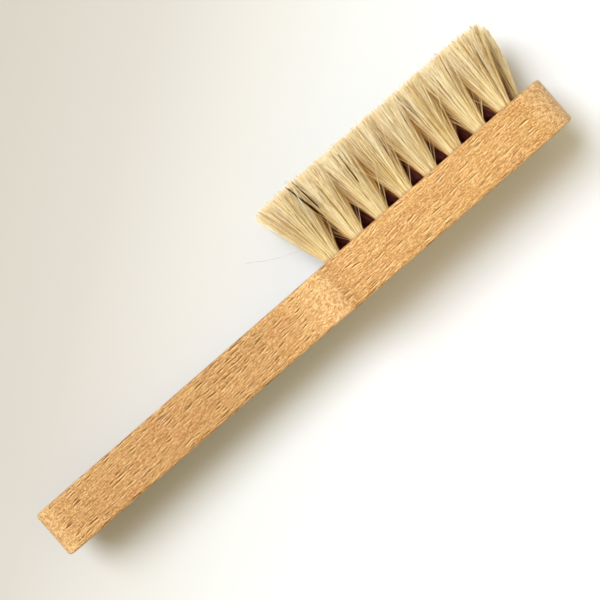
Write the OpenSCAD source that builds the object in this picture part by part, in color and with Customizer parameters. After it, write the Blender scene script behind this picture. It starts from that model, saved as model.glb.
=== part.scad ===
// Bee brush: a one-piece beech hand brush with four rows of hair tufts, each held by a steel anchor.
// Millimetres. The brush lies on the narrow side of its head, on the plane z = 0.
// +X runs from the handle's tip to the head's nose, +Y from the board to the hair tips, +Z is up.
// The origin is on that plane, in the middle of the brush's length and of its depth.

/* [Board] */
// Length from the handle's tip to the head's nose
brush_len = 252; // [252:1:270]
// Thickness of the planed board
board_t = 20; // [18:0.5:24]
// Reach of the sanded edges all round the board
edge_r = 1.2; // [0.5:0.1:1.8]

/* [Handle] */
// Width of the handle
handle_w = 24; // [23:1:30]
// Planform radius of the handle's round tip
handle_end_r = 11; // [6:0.5:11]
// Where the handle's side starts to sweep out into the head, from the handle's tip
neck_x = 122.4; // [110:0.1:124]
// Radius of the hollow sweep between handle and head
neck_r = 25; // [18:1:26]

/* [Head] */
// Width of the head
head_w = 42; // [40:1:48]
// Planform radius of the corners at the nose
head_end_r = 18; // [10:0.5:19]
// Radius of the shoulder where the sweep meets the head's side
shoulder_r = 4; // [2.5:0.5:5]

/* [Tufts] */
// Rows of tufts across the head
rows = 4; // [3:1:4]
// Tufts along each row
row_tufts = 8; // [6:1:8]
// Distance between tufts along a row
pitch = 12; // [11.5:0.1:12]
// Distance between rows
row_pitch = 9.6; // [9.4:0.1:10]
// Middle of the first tuft, from the handle's tip
first_x = 149.4; // [148:0.1:150]
// Middle of the single nose tuft, beyond the last tuft of a row
nose_step = 7; // [7:0.1:7.5]
// Length of hair that stands out of the board
hair_len = 30; // [22:1:45]
// Height above the board at which neighbouring tufts have spread until they meet
meet_h = 11; // [8:1:16]
// How far the hair fans out at the handle end and over the nose
end_fan = 8; // [4:0.5:8]
// How far the hair of the top row fans out sideways
side_fan = 5; // [2:0.5:8]
// How far the nose tuft fans out to each side
nose_fan = 6; // [3:0.5:6]

/* [Holes and anchors] */
// Diameter of the drilled tuft holes
hole_d = 6.5; // [6:0.1:6.8]
// Depth of a hole's straight wall
hole_depth = 12; // [10:0.5:13]
// Included angle of the drill's point
drill_angle = 118; // [110:1:140]
// Width of the flat anchor, across the grain
anchor_w = 8.1; // [7.6:0.1:8.4]
// Height of the anchor, along the hole
anchor_h = 2.4; // [1.8:0.1:3]
// Thickness of the anchor
anchor_t = 0.45; // [0.35:0.05:0.6]
// Distance from the anchor's lower edge to the end of the hole's straight wall
anchor_foot = 0.6; // [0.4:0.1:1.5]

/* [Hidden] */
// Clearance between a tuft's stem and its hole
stem_gap = 0.05;
// Clearance all round an anchor, in the wood and in the hair
anchor_gap = 0.02;
// Clearance between the spread hair of neighbouring tufts
hair_gap = 0.3;
// Height of the gap between the board and the hair that spreads over a hole's rim
rim_gap = 0.05;
// Radius of the spread hair where it leaves the hole
rim_r = hole_d / 2 + 0.1;
// How far a stem reaches up inside its spread hair, so that the two are one solid
stem_lap = 1;
// Corner radius of the spread hair
hair_corner_r = 1.8;
// Lowest height above the ground plane of the hair that lies on it
floor_gap = 0.4;
// Thickness of the discs and plates that a hull is stretched between
sheet = 0.02;
// A cut runs past its face by this much
cut = 1;
// The strips sanded off a shoulder and a sweep run past their seam by this angle
strip_lap = 0.5;
// A sanded edge is three narrow flats, a quarter of a twelve-sided round
edge_fn = 12;
// Facets of the board's curves and of a hull's discs
curve_fn = 96;
hull_fn = 30;

// Depth of the whole brush, from the board's back to the hair tips
depth = board_t + hair_len;
// The drilled face of the board
face_y = depth / 2 - hair_len;
// Rise of the neck's sweep on each side
neck_rise = (head_w - handle_w) / 2;
// Centre of the shoulder's radius, which touches both the sweep and the head's side
shoulder_x = neck_x + sqrt(pow(neck_r + shoulder_r, 2) - pow(neck_r + shoulder_r - neck_rise, 2));
// Where the sweep runs into the shoulder, and how steeply the sweep's radius points down there
sweep_end_x = neck_x + (shoulder_x - neck_x) * neck_r / (neck_r + shoulder_r);
sweep_angle = acos((sweep_end_x - neck_x) / neck_r);
// Depth of the anchor's upper edge below the board's face
anchor_depth = hole_depth - anchor_foot - anchor_h;
// Middle of the nose tuft, from the handle's tip
nose_x = tuft_x(row_tufts - 1) + nose_step;
// Half of the room that a tuft has along its row, and across the rows
half_pitch = (pitch - hair_gap) / 2;
half_row = (row_pitch - hair_gap) / 2;
// Half of the room between the last tufts and the nose tuft
half_nose = (nose_step - hair_gap) / 2;
// Reach of the lowest row's hair towards the ground plane
floor_reach = head_w / 2 + row_z(rows - 1) - floor_gap;

// Middle of tuft i of a row, from the handle's tip
function tuft_x(i) = first_x + i * pitch;
// Height of row r above the board's centre line
function row_z(r) = ((rows - 1) / 2 - r) * row_pitch;

row_names = "abcd";
tuft_names = [for (r = [0:rows - 1], i = [1:row_tufts]) str("tuft_", row_names[r], i)];
anchor_names = [for (r = [0:rows - 1]) str("anchors_row_", row_names[r])];

// Puts a part drawn on the board into place: x from the handle's tip, y up across the board,
// z down into the wood from its drilled face
module on_board() {
    translate([-brush_len / 2, face_y, head_w / 2])
        rotate([90, 0, 0])
            children();
}

// A rounded end: the corner circle and the straight stretch beside it, towards +X
module half_end(width, r) {
    translate([0, width / 2 - r])
        circle(r, $fn = curve_fn);
    square([r, width / 2 - r]);
}

// The sweep from the handle's side out to the head's side
module half_neck() {
    difference() {
        translate([neck_x, 0])
            square([sweep_end_x - neck_x, head_w / 2]);
        translate([neck_x, handle_w / 2 + neck_r])
            circle(neck_r, $fn = curve_fn);
    }
    translate([shoulder_x, head_w / 2 - shoulder_r])
        circle(shoulder_r, $fn = curve_fn);
    translate([sweep_end_x, 0])
        square([shoulder_x - sweep_end_x, head_w / 2 - shoulder_r]);
}

// Half of the board's outline
module half_outline() {
    translate([handle_end_r, 0])
        mirror([1, 0])
            half_end(handle_w, handle_end_r);
    translate([handle_end_r, 0])
        square([neck_x - handle_end_r, handle_w / 2]);
    half_neck();
    translate([shoulder_x, 0])
        square([brush_len - head_end_r - shoulder_x, head_w / 2]);
    translate([brush_len - head_end_r, 0])
        half_end(head_w, head_end_r);
}

// What sanding takes off a square edge: x points out of the board's side, y out of its broad face.
// In a hollow the board lies on the other side.
module edge_section(hollow = false) {
    difference() {
        translate([hollow ? -cut : -edge_r, -edge_r])
            square(edge_r + cut);
        translate([hollow ? edge_r : -edge_r, -edge_r])
            circle(edge_r, $fn = edge_fn);
    }
}

// The strip that is sanded off a straight edge, which starts at (x, y) and runs this way with the
// board on its right
module straight_edge(x, y, len, direction) {
    translate([x, y, 0])
        rotate([0, 0, direction])
            rotate([90, 0, 90])
                linear_extrude(len)
                    edge_section();
}

// The strip that is sanded off a round corner, or off a hollow, about the centre (x, y)
module round_edge(x, y, r, from, to, hollow = false) {
    translate([x, y, 0])
        rotate([0, 0, from])
            rotate_extrude(angle = to - from, $fn = curve_fn)
                translate([r, 0])
                    edge_section(hollow);
}

module on_both_sides() {
    children();
    mirror([0, 1, 0])
        children();
}

module on_both_faces() {
    translate([0, 0, board_t])
        children();
    mirror([0, 0, 1])
        children();
}

// The strips of the handle's tip, the long sides and the nose
module plain_edges() {
    on_both_sides() {
        round_edge(handle_end_r, handle_w / 2 - handle_end_r, handle_end_r, 90, 180);
        straight_edge(handle_end_r, handle_w / 2, neck_x - handle_end_r, 0);
        straight_edge(shoulder_x, head_w / 2, brush_len - head_end_r - shoulder_x, 0);
        round_edge(brush_len - head_end_r, head_w / 2 - head_end_r, head_end_r, 0, 90);
    }
    straight_edge(0, handle_end_r - handle_w / 2, handle_w - 2 * handle_end_r, 90);
    straight_edge(brush_len, head_w / 2 - head_end_r, head_w - 2 * head_end_r, -90);
}

// The strips of the shoulders, from the head's sides round to the sweeps
module shoulder_edges() {
    on_both_sides()
        round_edge(
            shoulder_x,
            head_w / 2 - shoulder_r,
            shoulder_r,
            90,
            180 - sweep_angle + strip_lap
        );
}

// The strips of the sweeps, from the handle's sides round to the shoulders
module sweep_edges() {
    on_both_sides()
        round_edge(
            neck_x,
            handle_w / 2 + neck_r,
            neck_r,
            -90,
            strip_lap - sweep_angle,
            hollow = true
        );
}

// The square-edged board
module slab() {
    linear_extrude(board_t) {
        half_outline();
        mirror([0, 1])
            half_outline();
    }
}

// The board with sanded edges, before it is drilled
module board() {
    difference() {
        difference() {
            difference() {
                slab();
                on_both_faces()
                    plain_edges();
            }
            on_both_faces()
                shoulder_edges();
        }
        on_both_faces()
            sweep_edges();
    }
}

// A blind hole with the drill's conical point
module hole() {
    translate([0, 0, -cut])
        cylinder(d = hole_d, h = hole_depth + cut);
    translate([0, 0, hole_depth])
        cylinder(d1 = hole_d, d2 = 0, h = hole_d / 2 / tan(drill_angle / 2));
}

// A flat anchor standing across a hole, grown by gap on every side
module anchor(gap = 0) {
    translate([-anchor_t / 2 - gap, -anchor_w / 2 - gap, anchor_depth - gap])
        cube([anchor_t + 2 * gap, anchor_w + 2 * gap, anchor_h + 2 * gap]);
}

// Repeats its children at every tuft of row r
module along_row(r) {
    for (i = [0:row_tufts - 1])
        translate([tuft_x(i), row_z(r), 0])
            children();
}

// Places its children at the nose tuft
module at_nose() {
    translate([nose_x, 0, 0])
        children();
}

module brush_body() {
    color([0.84, 0.66, 0.43])
        on_board()
            difference() {
                board();
                for (r = [0:rows - 1])
                    along_row(r) {
                        hole();
                        anchor(anchor_gap);
                    }
                at_nose() {
                    hole();
                    anchor(anchor_gap);
                }
            }
}

// The rounded outline of spread hair at one height, reaching this far from the tuft's middle
module hair_plate(height, left, right, low, high) {
    for (
        x = [hair_corner_r - left, right - hair_corner_r],
        y = [hair_corner_r - low, high - hair_corner_r]
    )
        translate([x, y, -height])
            cylinder(r = hair_corner_r, h = sheet, $fn = hull_fn);
}

// How far out the plate where neighbouring tufts meet is drawn: to its full reach where a neighbour
// stops the hair, and inside the hull where the hair leans out evenly from rim to tips
function reach_at_meeting(reach, is_free) = is_free ? rim_r : reach;

// One tuft: its stem folded over the anchor in the hole, and the hair spread above the board
module tuft(left, right, low, high, free = [false, false, false, false]) {
    color([0.88, 0.74, 0.49])
        difference() {
            union() {
                translate([0, 0, -stem_lap])
                    cylinder(r = hole_d / 2 - stem_gap, h = hole_depth - stem_gap + stem_lap);
                hull() {
                    translate([0, 0, -rim_gap - sheet])
                        cylinder(r = rim_r, h = sheet, $fn = hull_fn);
                    hair_plate(
                        meet_h,
                        reach_at_meeting(left, free[0]),
                        reach_at_meeting(right, free[1]),
                        reach_at_meeting(low, free[2]),
                        reach_at_meeting(high, free[3])
                    );
                    hair_plate(hair_len, left, right, low, high);
                }
            }
            anchor(anchor_gap);
        }
}

// Tuft i of row r, spread as far as its neighbours, the ground and its own fan let it
module row_tuft(r, i) {
    first = i == 0;
    last = i == row_tufts - 1;
    top = r == 0;
    bottom = r == rows - 1;
    beside_nose = last && !top && !bottom;
    on_board()
        translate([tuft_x(i), row_z(r), 0])
            tuft(
                left = first ? rim_r + end_fan : half_pitch,
                right = beside_nose ? half_nose : last ? rim_r + end_fan : half_pitch,
                low = bottom ? floor_reach : half_row,
                high = top ? rim_r + side_fan : half_row,
                free = [first, last, bottom, top]
            );
}

// The single tuft over the nose
module nose_tuft() {
    on_board()
        at_nose()
            tuft(
                left = half_nose,
                right = rim_r + end_fan,
                low = rim_r + nose_fan,
                high = rim_r + nose_fan,
                free = [false, true, true, true]
            );
}

// The anchors of row r
module row_anchors(r) {
    color([0.72, 0.73, 0.75])
        on_board()
            along_row(r)
                anchor();
}

// The nose tuft's anchor
module nose_anchor() {
    color([0.72, 0.73, 0.75])
        on_board()
            at_nose()
                anchor();
}

brush_body();
for (r = [0:rows - 1], i = [0:row_tufts - 1])
    row_tuft(r, i);
nose_tuft();  // tuft_nose
for (r = [0:rows - 1])
    row_anchors(r);
nose_anchor();  // anchor_nose
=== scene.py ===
"""Bee brush: the looks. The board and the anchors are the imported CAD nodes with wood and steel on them,
and every CAD tuft is replaced by a tuft of separate hairs. Metres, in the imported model's frame."""

import math

import bpy
import numpy as np
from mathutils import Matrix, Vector


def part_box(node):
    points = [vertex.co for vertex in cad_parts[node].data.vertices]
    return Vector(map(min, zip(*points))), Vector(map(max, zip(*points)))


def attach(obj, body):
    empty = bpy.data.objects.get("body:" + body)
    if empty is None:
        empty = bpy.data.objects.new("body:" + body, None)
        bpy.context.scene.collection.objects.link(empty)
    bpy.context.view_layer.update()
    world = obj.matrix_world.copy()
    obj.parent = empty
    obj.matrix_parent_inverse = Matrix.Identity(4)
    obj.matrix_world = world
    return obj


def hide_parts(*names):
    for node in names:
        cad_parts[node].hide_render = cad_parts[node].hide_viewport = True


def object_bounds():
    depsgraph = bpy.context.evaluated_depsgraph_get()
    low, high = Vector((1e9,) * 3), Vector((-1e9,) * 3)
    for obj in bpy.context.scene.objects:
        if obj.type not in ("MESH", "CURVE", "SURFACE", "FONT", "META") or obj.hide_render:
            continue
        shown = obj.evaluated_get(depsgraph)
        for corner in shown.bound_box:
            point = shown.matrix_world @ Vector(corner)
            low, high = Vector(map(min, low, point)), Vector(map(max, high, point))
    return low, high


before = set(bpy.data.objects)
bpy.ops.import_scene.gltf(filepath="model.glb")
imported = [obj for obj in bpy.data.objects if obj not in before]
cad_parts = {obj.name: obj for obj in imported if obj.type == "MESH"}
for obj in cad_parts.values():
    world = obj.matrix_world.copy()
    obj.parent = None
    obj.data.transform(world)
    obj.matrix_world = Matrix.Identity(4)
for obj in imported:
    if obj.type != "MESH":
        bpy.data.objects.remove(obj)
cad_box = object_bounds()

MM = 0.001

# ---------------------------------------------------------------- numbers for the hair
HAIRS = 1300               # hairs in a tuft
HAIR_R = 0.070 * MM        # mean radius of a hair
THICKNESS = (0.75, 1.3)    # the thinnest and the thickest hair, as shares of the mean
DARK_R = 2.8               # how much thicker the near-black hairs are than the pale ones
TIP_R = 0.8                # radius at a hair's tip, as a share of its own
TAPER_FROM = 0.6           # share of the height where a hair starts to get thinner
SIDES = 3                  # sides of a hair's tube
RINGS = (-0.04, 0.04, 0.14, 0.28, 0.46, 0.7, 1.0)  # rings of the tube, as shares of the hair's height

# How a tuft spreads
ROOT_R = 3.2 * MM          # radius of the bundle where it leaves its hole
FAN_ALONG = 7.0 * MM       # how far the outermost hairs lean along the row by their tips
FAN_ACROSS = 5.5 * MM      # and across the rows
FAN_END = 9.6 * MM         # and at the two ends of the brush, where no neighbour stops them
MINGLE = 3.0 * MM          # how far hairs reach in between the neighbouring tuft's
NOSE_ROOM = 10.8 * MM      # the nose tuft turns back up before it gets this far out
LOCKS = 60                 # locks that a tuft's hairs gather into
LOCK_PULL = (0.3, 0.8)     # share of the way to its lock's middle that a hair goes by its tip
LOCK_EDGE = 0.03           # how ragged the bounds between locks are
LIMIT_SHARPNESS = 5        # how suddenly hairs turn back up at the limit of their room

# How the hairs are cut, in mm
CUT_SPREAD = 0.6           # the usual spread of their heights
STRAGGLERS = 0.15          # share of hairs that the shears left uneven
STRAGGLER_CUT = (-4.0, 1.6)  # and by how much
END_DROP = 4.0 * MM        # how much shorter the nose tuft's outermost hairs are
DROP_FROM = -0.1           # where on the nose tuft's disc that starts
DROP_POWER = 1.5           # and how steeply it grows

# How the hairs stray from a straight line, in mm: spread of a single hair, and of a whole lock
DRIFT, LOCK_DRIFT = 0.9, 0.5   # of the tips
BOW, LOCK_BOW = 0.3, 0.2       # of the middles
# The tufts that lean along the row, in mm by their tips, and the spread of the others' leans
LEANS = {"tuft_a1": 0.6, "tuft_a4": 1.0, "tuft_a5": 1.6, "tuft_a6": 1.5, "tuft_a7": 1.2, "tuft_a8": 0.8}
OTHER_LEANS = 0.5

WILD = 0.035               # share of hairs that cross the others
WILD_REACH = 10.0          # spread in mm of how far they do so along the row
WILD_MOST = 14             # and the most in mm
WILD_ACROSS = 0.4          # how far they do so across the rows, as a share of that
WILD_OUTSIDE = 0.1         # and past the ends of the brush
BENT = 0.35                # share of the inner rows' hairs that bend into the gap beside them
BENT_REACH = 4.6 * MM      # and how far
BENT_BY = 0.03             # share of their height that they take to bend

# How pale a hair is, from 0 for near-black to 1
TONE = 0.73                # the mean
TONE_SPREAD = 0.27         # spread of a single hair
LOCK_TONE_SPREAD = 0.10    # and of a whole lock
DARKEST = 0.2              # the darkest of the usual hairs
WILD_TONE = 0.8            # the hairs that cross the others

# How the tufts shade each other's hairs, from 0 for not at all to 1. A rise is given as its start and its
# length, and a fall as its length and its end.
SHADE_RISE = (0.9, 2.8)    # mm into the brush
SHADE_FALL = (0.35, 0.9)   # share of the hair's height
VALLEY = 0.9               # the shade on the sides of a tuft, where it meets its neighbours
SIDE_RISE = (0.5, 0.4)     # sideways from the tuft's middle, as a share of ROOT_R
VALLEY_RISE = (0.08, 0.36)  # share of the hair's height
VALLEY_FALL = (0.4, 1.15)  # and the same for its upper end
END_LIGHT = 5.0 * MM       # how far past the last tufts of the rows the shade fades out
END_FADE = 0.7             # how much of it goes
NOSE_SHADE = 0.3           # how much of it the nose tuft keeps
# How much painted shade darkens a place down in the dark among the roots, from 0 to 1
ROOT_SHADE_RISE = (3.0, 4.0)   # mm into the brush
ROOT_SHADE_FALL = (9.0, 17.0)  # mm above the board
ROOT_SHADE_POWER = 0.8

# Single hairs that stand clear: start, bend and end in mm from where the tuft leaves the board, and tone.
# The near-black ones lie side by side in twos, as one thick dark streak.
STRAYS = {
    "tuft_a1": [((-5, 9, 3), (-15, 11, 4), (-26.5, 19.5, 1), 0.2)],
    "tuft_a2": [
        ((-3, 0, -1.5), (-5.3, 12, 5.0), (-8.9, 30.5, 8.4), 0.0),
        ((-3, 0, -1.5), (-4.8, 12, 4.4), (-8.5, 29.5, 8.0), 0.0),
        ((-2.5, 0, -1.5), (-4.0, 14, 4.6), (-5.9, 30.5, 8.4), 0.0),
        ((-2.5, 0, -1.5), (-3.8, 14, 4.8), (-5.5, 28.5, 7.8), 0.0),
    ],
    "tuft_a3": [
        ((0, 0, -1), (1.0, 14, 5.8), (1.6, 27, 8.0), 0.0),
        ((0, 0, -1), (0.9, 15, 5.8), (1.4, 25, 8.2), 0.0),
    ],
    "tuft_nose": [
        ((2, 0, 3), (5, 10, 6), (9.5, 21, 7), 1.0),
        ((2, 0, 3), (6, 11, 6), (10.5, 22, 8), 1.0),
        ((3, 0, 0), (6, 14, 2), (9.5, 25, 3), 0.9),
    ],
}

face_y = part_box("brush_body")[1].y
tips_y = cad_box[1].y
ground_z = cad_box[0].z


# ---------------------------------------------------------------- small node helpers
def new_material(name):
    """A new node material: itself, its tree, and its Principled shader."""
    mat = bpy.data.materials.new(name)
    mat.use_nodes = True
    tree = mat.node_tree
    return mat, tree, tree.nodes["Principled BSDF"]


def add(tree, kind, links=None, **settings):
    """A node with these settings. links maps input names or numbers to sockets to join, or to values."""
    node = tree.nodes.new(kind)
    for key, value in settings.items():
        setattr(node, key, value)
    for key, value in (links or {}).items():
        if isinstance(value, bpy.types.NodeSocket):
            tree.links.new(value, node.inputs[key])
        else:
            node.inputs[key].default_value = value
    return node


def maths(tree, operation, *values):
    """The output of a Math node."""
    return add(tree, "ShaderNodeMath", dict(enumerate(values)), operation=operation).outputs[0]


def vector_maths(tree, operation, a, b):
    """The vector output of a Vector Math node."""
    return add(tree, "ShaderNodeVectorMath", {0: a, 1: b}, operation=operation).outputs[0]


def smooth_step(tree, value, low, high, start=0.0, end=1.0):
    """start below low, end above high, and a smooth change in between."""
    node = add(
        tree,
        "ShaderNodeMapRange",
        {"Value": value, "From Min": low, "From Max": high, "To Min": start, "To Max": end},
        interpolation_type="SMOOTHSTEP",
    )
    return node.outputs["Result"]


def mixed(tree, share, a, b, blend="MIX"):
    """Colour a turned into b by share."""
    node = add(tree, "ShaderNodeMix", data_type="RGBA", blend_type=blend)
    # Its inputs 6 and 7 and its output 2 are the colours
    for socket, value in ((node.inputs[0], share), (node.inputs[6], a), (node.inputs[7], b)):
        if isinstance(value, bpy.types.NodeSocket):
            tree.links.new(value, socket)
        else:
            socket.default_value = value
    return node.outputs[2]


def ramp(tree, value, stops):
    """A colour ramp through (place, colour) stops."""
    node = add(tree, "ShaderNodeValToRGB", {0: value})
    elements = node.color_ramp.elements
    while len(elements) < len(stops):
        elements.new(0.5)
    for element, (place, colour) in zip(elements, stops):
        element.position = place
        element.color = colour
    return node.outputs["Color"]


def attribute(tree, name):
    """A number that the mesh carries."""
    return add(tree, "ShaderNodeAttribute", attribute_name=name).outputs["Fac"]


def stretched(tree, point, along, across, up):
    """The point measured in cells of this size in mm."""
    return vector_maths(tree, "MULTIPLY", point, Vector((1 / along, 1 / across, 1 / up)) / MM)


def noise(tree, point, size, detail=3.0, rough=0.55):
    """Noise with lumps of about this size in mm, from 0 to 1."""
    node = add(
        tree,
        "ShaderNodeTexNoise",
        {"Vector": stretched(tree, point, *size), "Scale": 1.0, "Detail": detail, "Roughness": rough},
    )
    return node.outputs[0]


# ---------------------------------------------------------------- wood
GRAIN_TILT = math.radians(-3)  # how far the grain runs off the board's length
# Sizes of the patterns in mm: along the grain, across it, and up
LONG_SWAY, SHORT_SWAY = (24, 12, 12), (3.2, 1.2, 1.2)
ZONES, FIBRES = (30, 5, 5), (7, 0.5, 0.5)
MOTTLE, TORN = (0.9, 0.45, 0.45), (2.2, 1.2, 1.2)
WOOD = {
    "darker zone": (0.44, 0.22, 0.062, 1),
    "zone": (0.45, 0.255, 0.072, 1),
    "paler zone": (0.51, 0.295, 0.096, 1),
    "dark fibre": (0.32, 0.15, 0.042, 1),
    "pale fibre": (0.70, 0.50, 0.24, 1),
    "dark mottle": (0.30, 0.14, 0.040, 1),
    "pale mottle": (0.74, 0.52, 0.25, 1),
    "sawn": (0.74, 0.50, 0.25, 1),
    "torn hollow": (0.36, 0.19, 0.062, 1),
    # painted highlight below each ray fleck
    "torn crest": (0.80, 0.60, 0.32, 1),
    "fleck_highlight": (0.84, 0.64, 0.35, 1),
    # painted shade: a light falloff that darkens the handle, and a darker band past the neck
    "painted_falloff_and_band": (0.66, 0.62, 0.58, 1),
}
# Where the painted light falloff that darkens the handle fades in, from the butt end, and out, and where the
# darker band past the neck does, along the brush in mm
FALLOFF_IN, FALLOFF_OUT = (-8, 20), (-25, 4)
DARK_BAND_IN, DARK_BAND_OUT = (13, 16), (18, 25)
FAINTER = (5, 35)  # where the flecks get fainter, from the handle to the head
# Ray flecks: their cell in mm, their share of its width, the share of cells that have one, their depth
# of colour, and that colour
RAY_FLECKS = (
    ((2.4, 0.45, 0.45), 0.44, 0.7, 0.6, (0.23, 0.095, 0.020, 1)),
    ((4.5, 0.58, 0.58), 0.44, 0.5, 0.9, (0.15, 0.060, 0.011, 1)),
    ((9.0, 0.75, 0.75), 0.38, 0.45, 0.95, (0.13, 0.050, 0.009, 1)),
)
HIGHLIGHT_OFFSET = 0.38 * MM  # how far a fleck's painted highlight lies below it
HIGHLIGHT_DEPTH = 0.55       # how strong that painted highlight is, as a share of the fleck


def fading(tree, along, places, start=0.0, end=1.0):
    """start before the first of two places along the brush in mm, and end past the second."""
    return smooth_step(tree, along, places[0] * MM, places[1] * MM, start, end)


def swayed(tree, point, size, amount):
    """The point pushed sideways by up to about this much in mm, so that no grain line is dead straight."""
    sway = add(
        tree,
        "ShaderNodeTexNoise",
        {"Vector": stretched(tree, point, *size), "Scale": 1.0, "Detail": 1.0},
    )
    off = vector_maths(tree, "SUBTRACT", sway.outputs["Color"], (0.5, 0.5, 0.5))
    push = vector_maths(tree, "MULTIPLY", off, (0.0, 2 * amount * MM, 2 * amount * MM))
    return vector_maths(tree, "ADD", point, push)


def flecks(tree, point, size, width, share):
    """Spindle-shaped flecks along the grain: 1 on a fleck, 0 off it. width is its share of a cell, and
    share is that of the cells with a fleck."""
    cells = add(tree, "ShaderNodeTexVoronoi", {"Vector": stretched(tree, point, *size), "Scale": 1.0})
    lone = add(tree, "ShaderNodeSeparateColor", {0: cells.outputs["Color"]})
    there = smooth_step(tree, lone.outputs[0], 1 - share, 1 - share * 0.3)
    shape = smooth_step(tree, cells.outputs["Distance"], width * 0.6, width, 1.0, 0.0)
    return maths(tree, "MULTIPLY", shape, there)


def grain_colour(tree, point, fibres, mottle):
    """Broad zones, with darker and paler fibres and a fine mottle in them."""
    zones = noise(tree, point, ZONES)
    colour = ramp(
        tree,
        zones,
        [(0.35, WOOD["darker zone"]), (0.5, WOOD["zone"]), (0.65, WOOD["paler zone"])],
    )
    for name, share in (
        ("dark fibre", smooth_step(tree, fibres, 0.33, 0.6, 0.55, 0.0)),
        ("pale fibre", smooth_step(tree, fibres, 0.5, 0.72, 0.0, 0.65)),
        ("dark mottle", smooth_step(tree, mottle, 0.36, 0.5, 0.7, 0.0)),
        ("pale mottle", smooth_step(tree, mottle, 0.5, 0.64, 0.0, 0.7)),
    ):
        colour = mixed(tree, share, colour, WOOD[name])
    return colour


def end_grain(tree, point, end_on, colour):
    """Paler and rougher where the saw and the sander met the grain end on."""
    torn = noise(tree, point, TORN, rough=0.6)
    cut = smooth_step(tree, end_on, 0.08, 0.6)
    colour = mixed(tree, maths(tree, "MULTIPLY", cut, 0.4), colour, WOOD["sawn"])
    hollows = maths(tree, "MULTIPLY", smooth_step(tree, torn, 0.38, 0.48, 0.85, 0.0), cut)
    colour = mixed(tree, hollows, colour, WOOD["torn hollow"])
    crests = maths(tree, "MULTIPLY", smooth_step(tree, torn, 0.52, 0.64, 0.0, 0.65), cut)
    return mixed(tree, crests, colour, WOOD["torn crest"])


def ray_flecks(tree, point, end_on, along, colour):
    """The colour with ray flecks in it, each with a painted highlight below it, then where any fleck is, and
    the longest.
    """
    fleck_highlight = vector_maths(tree, "ADD", point, (0.0, HIGHLIGHT_OFFSET, 0.0))
    cut_along = smooth_step(tree, end_on, 0.1, 0.5, 0.9, 0.5)
    strength = maths(tree, "MULTIPLY", cut_along, fading(tree, along, FAINTER, 1.0, 0.75))
    pits = 0.0
    for size, width, share, depth, dark in RAY_FLECKS:
        # painted highlight: a pale line just below each fleck, where an emboss would catch the light
        pale = maths(tree, "MULTIPLY", flecks(tree, fleck_highlight, size, width, share), HIGHLIGHT_DEPTH * depth)
        colour = mixed(tree, pale, colour, WOOD["fleck_highlight"])
        spots = maths(tree, "MULTIPLY", flecks(tree, point, size, width, share), strength)
        colour = mixed(tree, maths(tree, "MULTIPLY", spots, depth), colour, dark)
        pits = maths(tree, "MAXIMUM", pits, spots)
    return colour, pits, spots


def painted_falloff_and_band(tree, along, colour):
    """Painted shade: a light falloff that makes the handle a shade darker, and a darker band just past the
    neck.
    """
    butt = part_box("brush_body")[0].x
    from_butt = smooth_step(tree, along, butt + FALLOFF_IN[0] * MM, butt + FALLOFF_IN[1] * MM)
    # painted shade: the handle gets darker towards the butt, as a light falloff would make it
    room_limited_and_light_falloff = maths(tree, "MULTIPLY", from_butt, fading(tree, along, FALLOFF_OUT, 0.48, 0.0))
    # a darker band just past the neck
    dark_band = maths(tree, "MULTIPLY", fading(tree, along, DARK_BAND_IN), fading(tree, along, DARK_BAND_OUT, 0.3, 0.0))
    return mixed(tree, maths(tree, "ADD", room_limited_and_light_falloff, dark_band), colour, WOOD["painted_falloff_and_band"], "MULTIPLY")


def beech():
    """Steamed beech, sanded and left bare: short dark ray flecks on a pale pinkish tan."""
    mat, tree, shader = new_material("beech")
    coords = add(tree, "ShaderNodeTexCoord")
    place, facing = coords.outputs["Object"], coords.outputs["Normal"]
    along = add(tree, "ShaderNodeSeparateXYZ", {0: place}).outputs[0]
    end_on = maths(tree, "ABSOLUTE", add(tree, "ShaderNodeSeparateXYZ", {0: facing}).outputs[0])
    tilted = add(
        tree,
        "ShaderNodeVectorRotate",
        {"Vector": place, "Angle": GRAIN_TILT},
        rotation_type="Z_AXIS",
    )
    point = swayed(tree, tilted.outputs[0], LONG_SWAY, 1.7)
    point = swayed(tree, point, SHORT_SWAY, 0.3)
    fibres = noise(tree, point, FIBRES, detail=4.0)
    mottle = noise(tree, point, MOTTLE, rough=0.7)

    colour = grain_colour(tree, point, fibres, mottle)
    colour = end_grain(tree, point, end_on, colour)
    colour, pits, longest = ray_flecks(tree, point, end_on, along, colour)
    # painted shade: a light falloff along the handle, and a darker band past the neck
    colour = painted_falloff_and_band(tree, along, colour)
    tree.links.new(colour, shader.inputs["Base Color"])

    dents = maths(tree, "SUBTRACT", mottle, longest)
    bump = add(tree, "ShaderNodeBump", {"Height": dents, "Strength": 0.5, "Distance": 0.2 * MM})
    tree.links.new(bump.outputs[0], shader.inputs["Normal"])
    tree.links.new(smooth_step(tree, fibres, 0.3, 0.7, 0.62, 0.48), shader.inputs["Roughness"])
    shine = smooth_step(tree, pits, 0.0, 0.8, 0.35, 0.06)
    tree.links.new(shine, shader.inputs["Specular IOR Level"])
    return mat


# ---------------------------------------------------------------- steel
def anchor_steel():
    """The flat wire of the anchors, with the fine lines that drawing it left."""
    mat, tree, shader = new_material("anchor_steel")
    place = add(tree, "ShaderNodeTexCoord").outputs["Object"]
    drawn = noise(tree, place, (0.2, 0.08, 4.0))
    colour = ramp(tree, drawn, [(0.3, (0.42, 0.42, 0.43, 1)), (0.7, (0.62, 0.62, 0.63, 1))])
    tree.links.new(colour, shader.inputs["Base Color"])
    tree.links.new(smooth_step(tree, drawn, 0.3, 0.7, 0.3, 0.5), shader.inputs["Roughness"])
    shader.inputs["Metallic"].default_value = 1.0
    return mat


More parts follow.
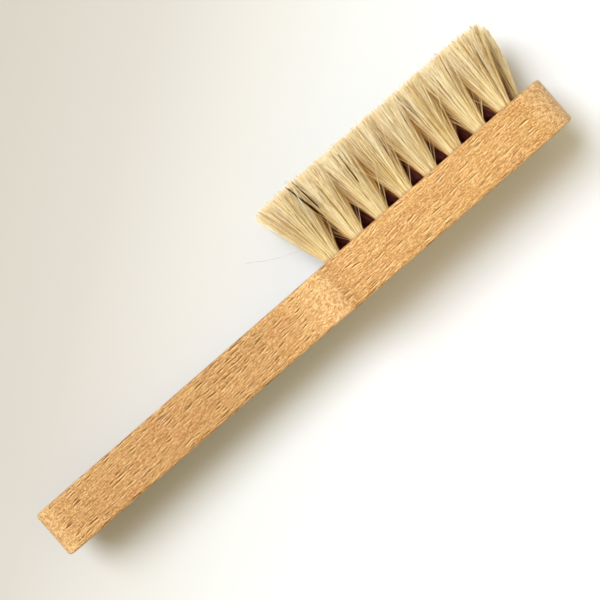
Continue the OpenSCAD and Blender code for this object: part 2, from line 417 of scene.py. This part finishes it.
# ---------------------------------------------------------------- hair: material
def horsehair():
    """Bleached horsehair: each hair has a tone of its own, and painted shade darkens hair deep among the
    others.
    """
    mat, tree, shader = new_material("horsehair")
    tone, height = attribute(tree, "tone"), attribute(tree, "height")
    colour = ramp(
        tree,
        tone,
        [
            (0.0, (0.028, 0.010, 0.004, 1)),
            (0.12, (0.22, 0.10, 0.035, 1)),
            (0.3, (0.54, 0.35, 0.13, 1)),
            (0.6, (0.95, 0.81, 0.45, 1)),
            (1.0, (0.99, 0.95, 0.76, 1)),
        ],
    )
    warm = smooth_step(tree, height, 0.2, 1.0, 0.5, 0.0)
    colour = mixed(tree, warm, colour, (1.0, 0.93, 0.67, 1), "MULTIPLY")
    # painted shade: the tips are made a little darker and greyer, to tone down how strongly the lamp lights
    # them
    tips = smooth_step(tree, height, 0.8, 1.0)
    colour = mixed(tree, tips, colour, (0.92, 0.89, 0.83, 1), "MULTIPLY")
    # painted shade between the tufts and deep among them
    colour = mixed(tree, attribute(tree, "shaded"), colour, (0.59, 0.38, 0.16, 1), "MULTIPLY")
    # painted shade: a dark maroon where hair lies deep among the roots
    colour = mixed(tree, attribute(tree, "painted_root_shade"), colour, (0.26, 0.06, 0.048, 1))
    tree.links.new(colour, shader.inputs["Base Color"])
    shader.inputs["Roughness"].default_value = 0.45
    shine = smooth_step(tree, tone, 0.0, 0.2, 0.02, 0.15)
    tree.links.new(shine, shader.inputs["Specular IOR Level"])
    return mat


# ---------------------------------------------------------------- hair: shape
def rising(value, start, over):
    """0 up to start, then evenly up to 1 over this much more."""
    return np.clip((value - start) / over, 0, 1)


def falling(value, over, end):
    """1 until this much before end, then evenly down to 0 there."""
    return np.clip((end - value) / over, 0, 1)


def soft_limit(reach, limit):
    """reach while it is well under limit, and never more than limit."""
    return reach / (1 + (np.abs(reach) / limit) ** LIMIT_SHARPNESS) ** (1 / LIMIT_SHARPNESS)


def middle_of(node):
    """Where a tuft's middle is along the brush and in height, from the row of anchors that hold it."""
    nose_low, nose_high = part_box("anchor_nose")
    if node == "tuft_nose":
        return (nose_low.x + nose_high.x) / 2, (nose_low.z + nose_high.z) / 2
    half = (nose_high.x - nose_low.x) / 2
    low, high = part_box("anchors_row_" + node[5])
    count = sum(name.startswith("tuft_" + node[5]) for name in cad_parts)
    xs = np.linspace(low.x + half, high.x - half, count)
    return xs[int(node[6]) - 1], (low.z + high.z) / 2


def depth_in_brush(x, z, share):
    """How deep a place lies among all the tufts, from the nearest side at this share of their height."""
    top_row, low_row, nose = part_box("anchors_row_a"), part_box("anchors_row_d"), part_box("anchor_nose")
    along, across = ROOT_R + FAN_END * share, ROOT_R + FAN_ACROSS * share
    left, right = top_row[0].x - along, nose[1].x + along
    bottom = (low_row[0].z + low_row[1].z) / 2 - across
    top = (top_row[0].z + top_row[1].z) / 2 + across
    return np.minimum(np.minimum(x - left, right - x), np.minimum(z - bottom, top - z))


def in_disc(rng, count):
    """Points spread evenly over a disc of radius 1."""
    out = np.sqrt(rng.random(count))
    turn = rng.random(count) * 2 * math.pi
    return np.stack([out * np.cos(turn), out * np.sin(turn)], axis=-1)


def rooted(rng):
    """Each hair's place in its hole, on a disc of radius 1, its lock, and its way to the lock's middle."""
    root = in_disc(rng, HAIRS)
    lock_root = in_disc(rng, LOCKS)
    apart = ((root[:, None] - lock_root) ** 2).sum(-1)
    lock = np.argmin(apart + LOCK_EDGE * rng.random((HAIRS, LOCKS)), axis=1)
    pull = rng.uniform(*LOCK_PULL, LOCKS)[lock]
    return root, lock, (lock_root[lock] - root) * pull[:, None]


def cut_heights(node, root, rng):
    """The hairs' heights: level, apart from stragglers, and shorter where the nose tuft leans out."""
    height = tips_y - face_y + rng.normal(0, CUT_SPREAD, HAIRS) * MM
    straggles = rng.random(HAIRS) < STRAGGLERS
    height += np.where(straggles, rng.uniform(*STRAGGLER_CUT, HAIRS), 0.0) * MM
    if node == "tuft_nose":
        height -= END_DROP * rising(root[:, 0], DROP_FROM, 1 - DROP_FROM) ** DROP_POWER
    return height


def wandering(node, lock, rng):
    """How far each hair's tip drifts and its middle bows, along the brush and in height, in mm."""
    lean_over = (LEANS[node], 0.0) if node in LEANS else rng.normal(0, OTHER_LEANS, 2)
    drift = rng.normal(0, DRIFT, (HAIRS, 2)) + rng.normal(0, LOCK_DRIFT, (LOCKS, 2))[lock] + lean_over
    bow = rng.normal(0, BOW, (HAIRS, 2)) + rng.normal(0, LOCK_BOW, (LOCKS, 2))[lock]
    return drift, bow


def crossing(free, rng):
    """Which hairs cross the others, and how far sideways in mm each hair's tip does so."""
    crosses = rng.random(HAIRS) < WILD
    sideways = np.clip(rng.normal(0, WILD_REACH, (HAIRS, 2)), -WILD_MOST, WILD_MOST)
    wild = crosses[:, None] * sideways * (1.0, WILD_ACROSS)
    outside = free[0, (wild[:, 0] > 0).astype(int)]
    wild[:, 0] = np.where(outside, wild[:, 0] * WILD_OUTSIDE, wild[:, 0])
    return crosses, wild


def bending(node, free, rng):
    """How far the inner rows' hairs bend along the row, apart from those at its open ends."""
    inner = node[5] in "bcd"
    bent = (rng.random(HAIRS) < BENT * inner) * rng.uniform(-BENT_REACH, BENT_REACH, HAIRS)
    return np.clip(bent, -BENT_REACH * (not free[0, 0]), BENT_REACH * (not free[0, 1]))


def room_for(node, axis, side, reach, free):
    """How far from the tuft's middle hairs can get on this axis. side is 0 below the middle and 1 above."""
    room = reach[axis, side] + np.where(free[axis, side], 2 * ROOT_R, MINGLE)
    if node[5] == "d" and axis == 1:
        room = np.where(side == 0, reach[1, 0], room)
    if node == "tuft_nose" and axis == 0:
        room = np.where(side == 1, NOSE_ROOM, room)
    return room


def hair_paths(node, rng):
    """Every hair of a tuft: its points in the row frame, as (hairs, rings, 3), its lock, and whether it
    crosses the others."""
    low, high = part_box(node)
    middle = np.array(middle_of(node))
    reach = np.array([[middle[0] - low.x, high.x - middle[0]], [middle[1] - low.z, high.z - middle[1]]])
    free = reach > 2 * ROOT_R
    free[1, 0] = False  # the ground stops the lowest row
    root, lock, gathered = rooted(rng)
    height = cut_heights(node, root, rng)
    drift, bow = wandering(node, lock, rng)
    crosses, wild = crossing(free, rng)
    bent = bending(node, free, rng)

    share = np.array(RINGS)[None, :]
    risen = np.clip(share, 0, None)
    offset = []
    for axis, fan in enumerate((FAN_ALONG, FAN_ACROSS)):
        here = root[:, axis, None] + gathered[:, axis, None] * risen
        side = (here > 0).astype(int)
        lean = np.where(free[axis, side] & (axis == 0), FAN_END, fan)
        straight = here * (ROOT_R + lean * risen)
        stray = drift[:, axis, None] * risen**2 + bow[:, axis, None] * np.sin(math.pi * risen)
        room_limited_and_light_falloff = soft_limit(straight + stray * MM, room_for(node, axis, side, reach, free))
        offset.append(room_limited_and_light_falloff + wild[:, axis, None] * risen * MM)
    x = middle[0] + offset[0] + bent[:, None] * (1 - np.exp(-risen / BENT_BY))
    y = face_y + share * height[:, None]
    z = np.maximum(middle[1] + offset[1], ground_z + 2 * HAIR_R)
    return np.stack([x, y, z], axis=-1), lock, crosses


def stray_path(node, start, bend, end):
    """One hair that stands clear of its tuft."""
    foot = Vector((middle_of(node)[0], face_y, middle_of(node)[1]))
    t = np.clip(np.array(RINGS), 0, 1)[:, None]
    curve = (1 - t) ** 2 * np.array(start) + 2 * t * (1 - t) * np.array(bend) + t**2 * np.array(end)
    return np.array(foot) + curve * MM


def tubes(paths, radius, angle):
    """Thin closed tubes round the paths: their vertices, and their faces."""
    count, rings = paths.shape[:2]
    turn = angle[:, None] + np.arange(SIDES) * 2 * math.pi / SIDES
    ring = np.stack([np.cos(turn), np.zeros_like(turn), np.sin(turn)], axis=-1) * radius[:, None, None]
    taper = np.interp(RINGS, [0, TAPER_FROM, 1], [1, 1, TIP_R])
    verts = paths[:, :, None, :] + ring[:, None, :, :] * taper[None, :, None, None]
    first = np.arange(count)[:, None, None] * rings * SIDES
    level = np.arange(rings - 1)[None, :, None] * SIDES
    here = first + level + np.arange(SIDES)
    after = first + level + (np.arange(SIDES) + 1) % SIDES
    quads = np.stack([here, here + SIDES, after + SIDES, after], axis=-1).reshape(-1, 4)
    foot = first[:, 0] + np.arange(SIDES)
    tip = first[:, 0] + (rings - 1) * SIDES + np.arange(SIDES)[::-1]
    return verts.reshape(-1, 3), quads.tolist() + foot.tolist() + tip.tolist()


def hair_tones(rng, lock, crosses):
    """How pale each hair is, from 0 to 1."""
    tone = TONE + rng.normal(0, TONE_SPREAD, HAIRS) + rng.normal(0, LOCK_TONE_SPREAD, LOCKS)[lock]
    return np.where(crosses, WILD_TONE, np.clip(tone, DARKEST, 1.0))


# ---------------------------------------------------------------- hair: shade
def valley_shade(node, paths, share):
    """How much the tufts beside it in its row shade each point of a tuft's hairs, from 0 to 1."""
    aside = (paths[:, 1:2, 0] - middle_of(node)[0]) / ROOT_R
    if node.endswith("1"):
        aside = np.clip(aside, 0, None)  # nothing stands before the first tuft of a row
    if node.endswith("8"):
        aside = np.clip(aside, None, 0)  # or right behind the last
    along_hair = rising(share, *VALLEY_RISE) * falling(share, *VALLEY_FALL)
    return rising(np.abs(aside), *SIDE_RISE) * along_hair


def shading(node, paths, share, depth):
    """How much the tufts all round shade each point of a tuft's hairs, from 0 to 1. depth is in mm."""
    shaded = rising(depth, *SHADE_RISE) * falling(share, *SHADE_FALL)
    shaded = np.maximum(shaded, VALLEY * valley_shade(node, paths, share))
    past_row = rising(paths[:, :, 0], middle_of("tuft_a8")[0], END_LIGHT)
    shaded = shaded * (1 - END_FADE * past_row)
    return shaded * NOSE_SHADE if node == "tuft_nose" else shaded


def root_shading(paths, depth):
    """How much painted shade darkens each point down in the dark among the roots, from 0 to 1. depth is in
    mm.
    """
    above_board = (paths[:, :, 1] - face_y) / MM
    return (rising(depth, *ROOT_SHADE_RISE) * falling(above_board, *ROOT_SHADE_FALL)) ** ROOT_SHADE_POWER


def give_attributes(mesh, node, paths, tone):
    """The numbers that the hair's material reads, at every vertex."""
    share = np.broadcast_to(np.array(RINGS), paths.shape[:2])
    depth = depth_in_brush(paths[:, :, 0], paths[:, :, 2], share) / MM
    for name, values in (
        ("tone", np.broadcast_to(tone[:, None], share.shape)),
        ("height", share),
        ("shaded", shading(node, paths, share, depth)),
        # painted shade down among the roots
        ("painted_root_shade", root_shading(paths, depth)),
    ):
        data = mesh.attributes.new(name, "FLOAT", "POINT").data
        data.foreach_set("value", np.repeat(values.ravel(), SIDES).astype(np.float32))


def hair_tuft(node, seed, material):
    """All the hairs of one CAD tuft, as thin tubes fanning out of its hole."""
    rng = np.random.default_rng(seed)
    paths, lock, crosses = hair_paths(node, rng)
    tone = hair_tones(rng, lock, crosses)
    for start, bend, end, shade in STRAYS.get(node, []):
        paths = np.concatenate([paths, stray_path(node, start, bend, end)[None]])
        tone = np.append(tone, shade)
    count = len(paths)
    radius = HAIR_R * rng.uniform(*THICKNESS, count) * np.where(tone == 0, DARK_R, 1.0)
    verts, faces = tubes(paths, radius, rng.random(count) * 2 * math.pi)
    mesh = bpy.data.meshes.new(node + "_hair")
    mesh.from_pydata(verts, [], faces)
    mesh.shade_smooth()
    give_attributes(mesh, node, paths, tone)
    mesh.materials.append(material)
    piece = bpy.data.objects.new(node + "_hair", mesh)
    bpy.context.scene.collection.objects.link(piece)
    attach(piece, "root")
    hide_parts(node)


# ---------------------------------------------------------------- the object
def dress_cad_nodes():
    """Wood on the board and steel on the anchors."""
    wood, steel = beech(), anchor_steel()
    for name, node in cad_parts.items():
        if name == "brush_body" or name.startswith("anchor"):
            node.data.materials.clear()
            node.data.materials.append(wood if name == "brush_body" else steel)


dress_cad_nodes()
hair = horsehair()
for seed, name in enumerate(sorted(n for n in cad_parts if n.startswith("tuft_"))):
    hair_tuft(name, seed, hair)


# ---------------------------------------------------------------- stage, light and camera
CAMERA_TURN = math.radians(-41.06)  # it looks straight down, with the picture's right turned this far from +X
CAMERA_HEIGHT = 595 * MM
CAMERA_X = 3.45 * MM
CAMERA_Y = -9.1 * MM
SENSOR = 36.0              # mm
LENS = 90.4                # mm
FLOOR_HALF = 6.0           # metres from the middle of the floor to its edge
FLOOR_FADE = 3.0           # lengths of the floor's colour ramp, a painted light falloff, in a metre
FLOOR_FADE_WAY = (1, -0.25)  # the way it runs, to the right and up in the camera's picture
ROOM_LIGHT = 0.77          # strength of the soft light from all round


def turned(right, up):
    """A direction in the row frame, from how far it goes right and up in the camera's picture."""
    c, s = math.cos(CAMERA_TURN), math.sin(CAMERA_TURN)
    return Vector((right * c - up * s, right * s + up * c, 0.0))


def make_floor():
    """A pale floor with a painted light falloff, a little greyer to the left of the picture."""
    corners = [(x * FLOOR_HALF, y * FLOOR_HALF, 0) for x, y in ((-1, -1), (1, -1), (1, 1), (-1, 1))]
    mesh = bpy.data.meshes.new("floor")
    mesh.from_pydata(corners, [], [(0, 1, 2, 3)])
    floor = bpy.data.objects.new("floor", mesh)
    floor.location.z = ground_z
    bpy.context.scene.collection.objects.link(floor)
    mat, tree, shader = new_material("pale_floor")
    place = add(tree, "ShaderNodeTexCoord").outputs["Object"]
    way = tuple(turned(*FLOOR_FADE_WAY))
    along = add(tree, "ShaderNodeVectorMath", {0: place, 1: way}, operation="DOT_PRODUCT").outputs["Value"]
    shade = maths(tree, "MULTIPLY_ADD", along, FLOOR_FADE, 0.5)
    # painted light falloff: the floor darkens and greys towards the left of the picture
    colour = ramp(
        tree,
        shade,
        [
            (0.1, (0.375, 0.383, 0.370, 1)),
            (0.27, (0.433, 0.450, 0.450, 1)),
            (0.4, (0.522, 0.556, 0.568, 1)),
            (0.53, (0.595, 0.656, 0.700, 1)),
            (0.66, (0.66, 0.72, 0.79, 1)),
        ],
    )
    tree.links.new(colour, shader.inputs["Base Color"])
    shader.inputs["Roughness"].default_value = 0.6
    mesh.materials.append(mat)


def make_camera():
    """The camera over the brush, looking straight down."""
    data = bpy.data.cameras.new("camera")
    data.sensor_width = SENSOR
    data.lens = LENS
    data.clip_start, data.clip_end = 0.01, 20.0
    camera = bpy.data.objects.new("camera", data)
    camera.location = (CAMERA_X, CAMERA_Y, CAMERA_HEIGHT)
    camera.rotation_euler = (0.0, 0.0, CAMERA_TURN)
    bpy.context.scene.collection.objects.link(camera)
    bpy.context.scene.camera = camera


def make_light(name, direction, elevation, distance, size, watts, colour):
    """A square light that shines on the brush from this direction."""
    data = bpy.data.lights.new(name, "AREA")
    data.size = size
    data.energy = watts
    data.color = colour
    light = bpy.data.objects.new(name, data)
    away = direction.normalized() * math.cos(elevation) + Vector((0, 0, math.sin(elevation)))
    light.location = away * distance
    light.rotation_mode = "QUATERNION"
    light.rotation_quaternion = away.to_track_quat("Z", "Y")
    bpy.context.scene.collection.objects.link(light)


def make_world():
    """A soft room: pale at the horizon and warm overhead."""
    world = bpy.data.worlds.new("studio")
    world.use_nodes = True
    tree = world.node_tree
    sky = add(tree, "ShaderNodeTexCoord").outputs["Generated"]
    up = add(tree, "ShaderNodeSeparateXYZ", {0: sky}).outputs[2]
    colour = ramp(tree, up, [(0.1, (0.93, 0.92, 0.89, 1)), (0.4, (1.0, 0.79, 0.46, 1))])
    background = tree.nodes["Background"]
    tree.links.new(colour, background.inputs[0])
    background.inputs[1].default_value = ROOM_LIGHT
    bpy.context.scene.world = world


make_floor()
make_camera()
make_light(
    "window",
    turned(-0.94, 0.34),
    elevation=math.radians(60),
    distance=4.0,
    size=2.0,
    watts=198.0,
    colour=(0.93, 0.93, 0.985),
)
make_world()
bpy.context.scene.view_settings.view_transform = "Standard"
